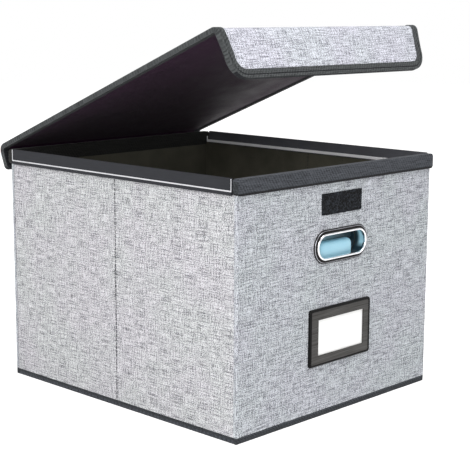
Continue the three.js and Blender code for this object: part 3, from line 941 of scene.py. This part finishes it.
def make_label_frame():
    low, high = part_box("label_frame")
    low -= Vector((0.9, 0, 0.9)) * mm
    high += Vector((0.1, 0, 0.7)) * mm
    wall = high.y
    centre_x, centre_z = (low.x + high.x) / 2, (low.z + high.z) / 2
    width, height = high.x - low.x, high.z - low.z
    centre = (centre_x, wall - 0.9 * mm, centre_z)
    rim = start_plate("label_frame_rim", width, height, centre)
    round_corners(3.4, 8)
    step_in(rim_profile)
    close_ring(rim, wall)
    slot_low = (-43.4 * mm, wall - 0.85 * mm, high.z - 5 * mm)
    slot_high = (43.4 * mm, wall - 0.15 * mm, high.z + mm)
    carve_block(rim, slot_low, slot_high)
    finish_piece(rim, "front_wall", "black_lacquer", "label_metal", ["label_frame"], smooth=50)

    size = (width - 2 * rim_width * mm, height - 2 * rim_width * mm)
    centre = (centre_x, wall - 2.5 * mm, centre_z)
    face = start_plate("label_frame_face", *size, centre)
    round_corners(2, 5)
    close_plate(face, wall - 0.9 * mm)
    window_low = (-37.2 * mm, wall - 5 * mm, centre_z - 19.8 * mm)
    window_high = (38.8 * mm, wall + mm, centre_z + 19.2 * mm)
    carve_block(face, window_low, window_high)
    soften(face, 0.35, 3, bend=50)
    finish_piece(face, "front_wall", "label_metal", "label_metal", even=True)


make_label_frame()


# The closure patches
patch_width = 66
patch_height = 23


def make_patch(name):
    """A sewn patch of short pile, roughened on its face."""
    piece = start_plate(name, patch_width * mm, patch_height * mm, (0, 0, 0))
    bpy.ops.mesh.subdivide(number_cuts=23)
    corner_x, corner_z = (patch_width / 2 - 0.1) * mm, (patch_height / 2 - 0.1) * mm
    pick_points(piece, lambda x, y, z: abs(x) > corner_x and abs(z) > corner_z)
    bpy.ops.transform.resize(value=(0.988, 1, 0.97))
    choose_all()
    bpy.ops.transform.vertex_random(offset=0.22 * mm, uniform=0.4, normal=0.6, seed=11)
    thicken(piece, 1.0)
    return piece


hook = make_patch("hook_pile")
hook_low, hook_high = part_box("hook_patch")
hook.location = (0, hook_low.y + 0.2 * mm, (hook_low.z + hook_high.z) / 2)
finish_piece(hook, "front_wall", "patch_pile", "patch_pile", ["hook_patch"])


# Sewing
stitch_pitch = 4.6
stitch_length = 3.5
seam_width = 0.7


def make_stitch(width):
    """One stitch of thread, lying along X and bowed up in its middle."""
    low = Vector((-stitch_length / 2, -width / 2, -0.15)) * mm
    high = Vector((stitch_length / 2, width / 2, 0.3)) * mm
    stitch = start_block("stitch", low, high)
    pick_edges(stitch, lambda middle, run: middle.z > 0)
    round_chosen_edges(0.22, 2)
    choose_only(stitch)
    return stitch


def stitch_spot(place, run, outward):
    """A place in millimetres, with the way the seam runs and the way the cloth faces."""
    run = Vector(run).normalized()
    outward = Vector(outward).normalized()
    turned = Matrix((run, outward.cross(run), outward)).transposed().to_4x4()
    return Matrix.Translation(Vector(place) * mm) @ turned


def walk(line):
    """Even steps along a broken line. Each is a place and the way the line runs there."""
    left = stitch_pitch / 2
    for start, end in zip(line, line[1:]):
        run = (end - start).normalized()
        length = (end - start).length
        while left < length:
            yield start + run * left, run
            left += stitch_pitch
        left -= length


def sew(name, line, outward, width=seam_width):
    """Stitches along a line given in millimetres, modelled once and copied to each spot."""
    first = make_stitch(width)
    row = []
    for place, run in walk([Vector(point) for point in line]):
        stitch = first.copy()
        stitch.data = first.data.copy()
        stitch.matrix_world = stitch_spot(place, run, outward)
        bpy.context.collection.objects.link(stitch)
        row.append(stitch)
    bpy.data.objects.remove(first)
    for stitch in row:
        stitch.select_set(True)
    bpy.context.view_layer.objects.active = row[0]
    bpy.ops.object.join()
    piece = just_added(name)
    settle()
    return piece


# The lid's layers are cut flat, then folded along the lid's two bends
hinge = next(joint for joint in frame["joints"] if joint["name"] == "lid_hinge")
lid_hinge_line = Vector(hinge["pos_m"])
lid_open_angle = -hinge["range_deg"][0]
lid_back = 4.5
lid_length = 386.0
lid_front = lid_back - lid_length
lid_half_width = 161.5
lid_rear_flap = 29.0
lid_front_flap = 54.0
lid_rear_bend = 8.0
lid_front_bend = 7.0
lid_rear_corner = 5.0
lid_front_corner = 20.0
lid_flap_taper = 5.5
lid_front_bend_angle = 90.5
lid_tape_width = 9.2
lid_tape_groove = ((2.9, 0.0), (0.35, -0.7), (0.6, 0.0), (0.35, 0.7))
lid_tape_groove_end = 4.2
lid_edge_thickness = 5.0
bend_rows = 6
flap_shares = [number / 8 for number in range(5)]


def lid_rows(depth):
    """Where the flat cloth is bent, from each end of the lid's top outwards, in millimetres."""
    share = 2 * math.sin(math.radians(90 / bend_rows / 2))
    steps = [row * share for row in range(bend_rows + 1)]
    rear = [lid_back - lid_rear_bend + step * (lid_rear_bend - depth) for step in steps]
    front = [lid_front + lid_front_bend - step * (lid_front_bend - depth) for step in steps]
    return rear, front


def lid_outline(depth, margin):
    """Where the flat cloth's front flap starts, its front and rear ends and its half width."""
    rear, front = lid_rows(depth)
    rear_end = rear[-1] + lid_rear_flap - lid_rear_bend - margin
    front_end = front[-1] - lid_front_flap + lid_front_bend + margin
    return front[-1], front_end, rear_end, lid_half_width - margin


def flap_drawn_in(share):
    """How far the front flap's sides are drawn in, from 0 at its bend to its taper at its end."""
    return lid_flap_taper * math.sin(math.radians(90) * share)


def cut_lid_cloth(name, depth, margin, window=None):
    """A flat piece with the lid's rounded corners, drawn in by a margin.

    A window, if given, leaves only a band of that width round it.
    """
    flap_start, front_end, rear_end, half = lid_outline(depth, margin)
    level = (lid_rear_flap - depth) * mm
    size = (2 * half * mm, (rear_end - front_end) * mm)
    centre = (0, (rear_end + front_end) / 2 * mm, level)
    piece = start_plate(name, *size, centre, standing=False)
    flap_row = lambda share: flap_start + share * (front_end - flap_start)
    slice_rows([flap_row(share) * mm for share in flap_shares], 1)
    for share in flap_shares[1:] + [1.0]:
        row = flap_row(share) * mm
        pick_points(piece, lambda x, y, z: same(y, row))
        narrow = (half - flap_drawn_in(share)) / half
        bpy.ops.transform.resize(value=(narrow, 1, 1), center_override=(0, row, level))
    round_corners(lid_front_corner - margin, 9)
    pick_points(piece, lambda x, y, z: y > (rear_end - 1) * mm)
    if lid_rear_corner > margin:
        round_corners(lid_rear_corner - margin, 5)
    if window:
        open_window(piece, window, half, rear_end, level)
    return piece


def open_window(piece, band, half, rear_end, level):
    """Cuts out the middle, with a fine groove round the band, and gathers the inner corners."""
    choose_all()
    bpy.ops.mesh.dissolve_faces()
    step_in((*lid_tape_groove, (band - lid_tape_groove_end, 0.0)))
    bpy.ops.mesh.delete(type="FACE")
    inner_side = (half - band) * mm
    inner_end = (rear_end - band) * mm
    reach = (band - lid_rear_corner + 0.1) * mm

    def near_corner(x, y):
        past = (x - inner_side, y - inner_end)
        return -mm < min(past) < 3 * mm and max(past) < reach

    for side in (1, -1):
        pick_points(piece, lambda x, y, z: near_corner(side * x, y))
        corner = (side * inner_side, inner_end, level)
        bpy.ops.transform.resize(value=(0, 0, 0), center_override=corner)
    choose_all()
    bpy.ops.mesh.remove_doubles(threshold=0.01 * mm)


def open_lid(piece):
    """Carries a piece made closed, with the hinge line at the origin, to the open lid."""
    choose_only(piece)
    piece.location = lid_hinge_line
    piece.rotation_euler = (-math.radians(lid_open_angle), 0, 0)
    settle()


def fold_lid_flaps(piece, depth):
    """Folds what lies flat in the lid's plane down over its two bends, row by row."""
    rear, front = lid_rows(depth)
    level = (lid_rear_flap - depth) * mm
    flat = [vertex.co.y for vertex in piece.data.vertices]
    edit(piece)
    for rows, side, angle in ((rear, 1, 90), (front, -1, lid_front_bend_angle)):
        for number in reversed(range(len(rows))):
            row = rows[number] * mm
            share = 0.5 if number in (0, len(rows) - 1) else 1.0
            pick(piece, "VERT", lambda corner: side * (flat[corner.index] - row) > 1e-5)
            bend = math.radians(side * share * angle / bend_rows)
            centre = (0, row, level)
            bpy.ops.transform.rotate(value=bend, orient_axis="X", center_override=centre)


def turn_weave_along_edge(mesh, weave):
    """Lets the tape's length run down the lid's two sides as it does across its ends."""
    reach_x = max(vertex.co.x for vertex in mesh.vertices)
    rows = sorted(vertex.co.y for vertex in mesh.vertices)
    for polygon in mesh.polygons:
        from_side = reach_x - abs(polygon.center.x)
        from_end = min(rows[-1] - polygon.center.y, polygon.center.y - rows[0])
        if from_side < from_end:
            for index in polygon.loop_indices:
                weave.data[index].uv = weave.data[index].uv.yx


def fold_lid_cloth(piece, depth, along_edge=False):
    """Marks the weave's run on the flat cloth and folds it. Returns its cut size and area."""
    rear, front = lid_rows(depth)
    top_rows = [front[0] + step * (rear[0] - front[0]) / 16 for step in range(1, 16)]
    slice_rows([row * mm for row in rear + front + top_rows], 1)
    choose_only(piece)
    mesh = piece.data
    while mesh.uv_layers:
        mesh.uv_layers.remove(mesh.uv_layers[0])
    weave = mesh.uv_layers.new(name="weave")
    for loop in mesh.loops:
        weave.data[loop.index].uv = mesh.vertices[loop.vertex_index].co.xy
    if along_edge:
        turn_weave_along_edge(mesh, weave)
    size = piece.dimensions.xy
    area = sum(polygon.area for polygon in mesh.polygons)
    fold_lid_flaps(piece, depth)
    open_lid(piece)
    return tuple(size), area


def lid_seam(depth, margin):
    """The line of a seam round the flat lid, a margin in from its edge."""
    flap_start, front_end, rear_end, half = lid_outline(depth, margin)
    curve = lid_front_corner - margin
    line = [(-half, rear_end)]
    for share in flap_shares:
        line.append((flap_drawn_in(share) - half, flap_start + share * (front_end - flap_start)))
    corner_x, corner_y = lid_flap_taper - half + curve, front_end + curve
    for step in range(1, 9):
        angle = math.radians(180 + step * 90 / 8)
        line.append((corner_x + curve * math.cos(angle), corner_y + curve * math.sin(angle)))
    line = line + [(-x, y) for x, y in reversed(line)] + [line[0]]
    return [(x, y, lid_rear_flap - depth) for x, y in line]


def paint_shade_on_lid_tape_inside(piece):
    """Gives the tape's inner leg a darker copy of the lid tape, as painted shade under the lid."""
    piece.data.materials.append(finishes["woven_tape_lid_inside"])
    closed = Matrix.Rotation(math.radians(lid_open_angle), 3, "X")
    for polygon in piece.data.polygons:
        normal = closed @ polygon.normal
        centre = closed @ (polygon.center - lid_hinge_line)
        under_top = normal.z < -0.7
        behind_front_flap = normal.y > 0.7 and centre.y < lid_front * mm / 2
        behind_rear_flap = normal.y < -0.7 and centre.y > lid_front * mm / 2
        if under_top or behind_front_flap or behind_rear_flap:
            polygon.material_index = 1


def make_lid():
    lid_boards = ["lid_top_board", "lid_front_board", "lid_rear_board"]
    for name, depth, margin, thickness, material, slot, stands_for in (
        ("lid_fabric", 0.0, 3.0, 0.8, "linen_lid", "linen", ["lid_cover"]),
        ("lid_inside_cloth", 3.0, 3.0, 0.6, "lid_lining", "lining", ["lid_lining"]),
        ("lid_board", 1.1, 2.2, 1.6, "greyboard", "greyboard", lid_boards),
    ):
        piece = cut_lid_cloth(name, depth, margin)
        flat, area = fold_lid_cloth(piece, depth)
        thicken(piece, thickness)
        finish_piece(piece, "lid", material, slot, stands_for)

    edge = cut_lid_cloth("lid_edge_tape", -0.9, 0.0, window=lid_tape_width)
    fold_lid_cloth(edge, -0.9, along_edge=True)
    thicken(edge, lid_edge_thickness, use_even_offset=True)
    soften(edge, 1.5, 3, bend=50)
    finish_piece(edge, "lid", "woven_tape_lid", "woven_tape", ["lid_binding"])
    paint_shade_on_lid_tape_inside(edge)

    for name, depth, facing, margin in (
        ("lid_edge_stitching", -0.3, 1, 3.55),
        ("lid_edge_stitching_inside", 4.1, -1, 6.6),
    ):
        seam = sew(name, lid_seam(depth, margin), (0, 0, facing))
        fold_lid_flaps(seam, depth)
        open_lid(seam)
        finish_piece(seam, "lid", "dark_thread", "woven_tape")

    loop = make_patch("loop_pile")
    loop.rotation_euler = (0, 0, math.pi)
    loop.location = (0, (lid_front + 6.0) * mm, (lid_rear_flap - lid_front_flap + 13.0) * mm)
    settle()
    open_lid(loop)
    finish_piece(loop, "lid", "patch_pile", "patch_pile", ["loop_patch"])


make_lid()


# Seams on the walls, in millimetres
outer_face = 160.0
lining_face = 155.5
lining_seam_place = -64.6
outer_reach = 156
inner_reach = 144


def millimetres(node):
    low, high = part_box(node)
    return low * 1000, high * 1000


def sew_row(name, body, thread, row, outward, width):
    slot = "lining" if thread == "lining_thread" else "woven_tape"
    finish_piece(sew(name, row, outward, width), body, thread, slot)


for side, sign in sides:
    low, high = millimetres(side + "_front_lining")
    for name, thread, x, y, facing, width in (
        ("_crease_stitching", "dark_thread", outer_face, high.y - 0.75, 1, 1.0),
        ("_crease_stitching_inside", "dark_thread", lining_face, high.y - 2, -1, seam_width),
        ("_lining_seam", "lining_thread", lining_face, lining_seam_place, -1, 0.8),
    ):
        row = (sign * x, y, low.z + 2), (sign * x, y, high.z)
        sew_row(side + name, side + "_front", thread, row, (sign * facing, 0, 0), width)
for end, outward in ends:
    low, high = millimetres(end + "_trim")
    face, back = face_and_back(low, high, outward)
    inside = back + 0.4 * outward
    level = low.z + 1.3
    low, high = millimetres(end + "_foot_binding")
    foot = face_and_back(low, high, outward)[0]
    # The trims' near-black stitching is partly painted shade along their lower edges.
    for name, thread, y, z, reach, facing, width in (
        ("_trim_stitching", "near_black_thread_as_shade", face, level, outer_reach, 1, seam_width),
        ("_trim_stitching_inside", "near_black_thread_as_shade", inside, level, inner_reach, -1, seam_width),
        ("_foot_stitching", "tape_thread", foot, high.z - 1.5, outer_reach, 1, 0.5),
    ):
        row = (-reach, y, z), (reach, y, z)
        sew_row(end + name, end + "_wall", thread, row, (0, outward * facing, 0), width)


# Floor, world, lights and camera
def make_stage():
    """A plain pale floor that glows a little where it is seen."""
    choose_only(None)
    place = (0, 0, -0.0005)
    bpy.ops.mesh.primitive_circle_add(vertices=64, radius=6, fill_type="NGON", location=place)
    floor = just_added("studio_floor")
    paper = Look("studio_floor", Base_Color=(0.93, 0.93, 0.93, 1), Roughness=1)
    total = paper.add("AddShader")
    paper.feed(paper.surface.outputs[0], total.inputs[0])
    paper.feed(paper.add("Emission", Strength=0.55).outputs[0], total.inputs[1])
    paper.show_to_rays(("Is Camera Ray", "Is Glossy Ray"), total, "Material Output")
    floor.data.materials.append(paper.owner)


def make_world():
    """A soft white surround, at full white where it is seen."""
    world = bpy.context.scene.world = bpy.data.worlds.new("studio")
    white = {"Color": (1, 1, 1, 1)}
    soft = Look("studio", world, "Background", **white, Strength=0.5)
    bright = soft.add("Background", **white, Strength=1)
    kinds = ("Is Camera Ray", "Is Glossy Ray", "Is Transmission Ray")
    soft.show_to_rays(kinds, bright, "World Output")


def add_lamp(name, place, target, size, power):
    """A square softbox."""
    choose_only(None)
    bpy.ops.object.light_add(type="AREA", location=place)
    lamp = just_added(name)
    lamp.data.shape = "RECTANGLE"
    lamp.data.size = lamp.data.size_y = size
    lamp.data.energy = power
    ray = Vector(target) - Vector(place)
    lamp.rotation_euler = ray.to_track_quat("-Z", "Y").to_euler()


def make_camera():
    """The photograph's camera: its right, down and forward directions, and where it stands."""
    right = Vector((0.6929996, -0.7209204, 0.0050304))
    down = Vector((-0.1241745, -0.1262328, -0.9841982))
    ahead = Vector((0.7101636, 0.6814243, -0.1769992))
    bpy.ops.object.camera_add()
    camera = just_added("photo_camera")
    camera.data.sensor_width = 36
    camera.data.lens = 97.2147
    turned = Matrix((right, -down, -ahead)).transposed().to_4x4()
    camera.matrix_world = Matrix.Translation((-1.04168, -1.03314, 0.43438)) @ turned
    bpy.context.scene.camera = camera


make_stage()
make_world()
add_lamp("left_softbox", (-2.2, -0.4, 1.4), (0, 0, 0.15), 1.6, 30)
add_lamp("front_softbox", (-1.3, -1.4, 0.75), (0, 0, 0.25), 1.2, 10)
add_lamp("top_softbox", (0.1, -0.9, 2.6), (0, 0, 0.3), 1.6, 40)
make_camera()

bpy.context.scene.view_settings.view_transform = "Standard"
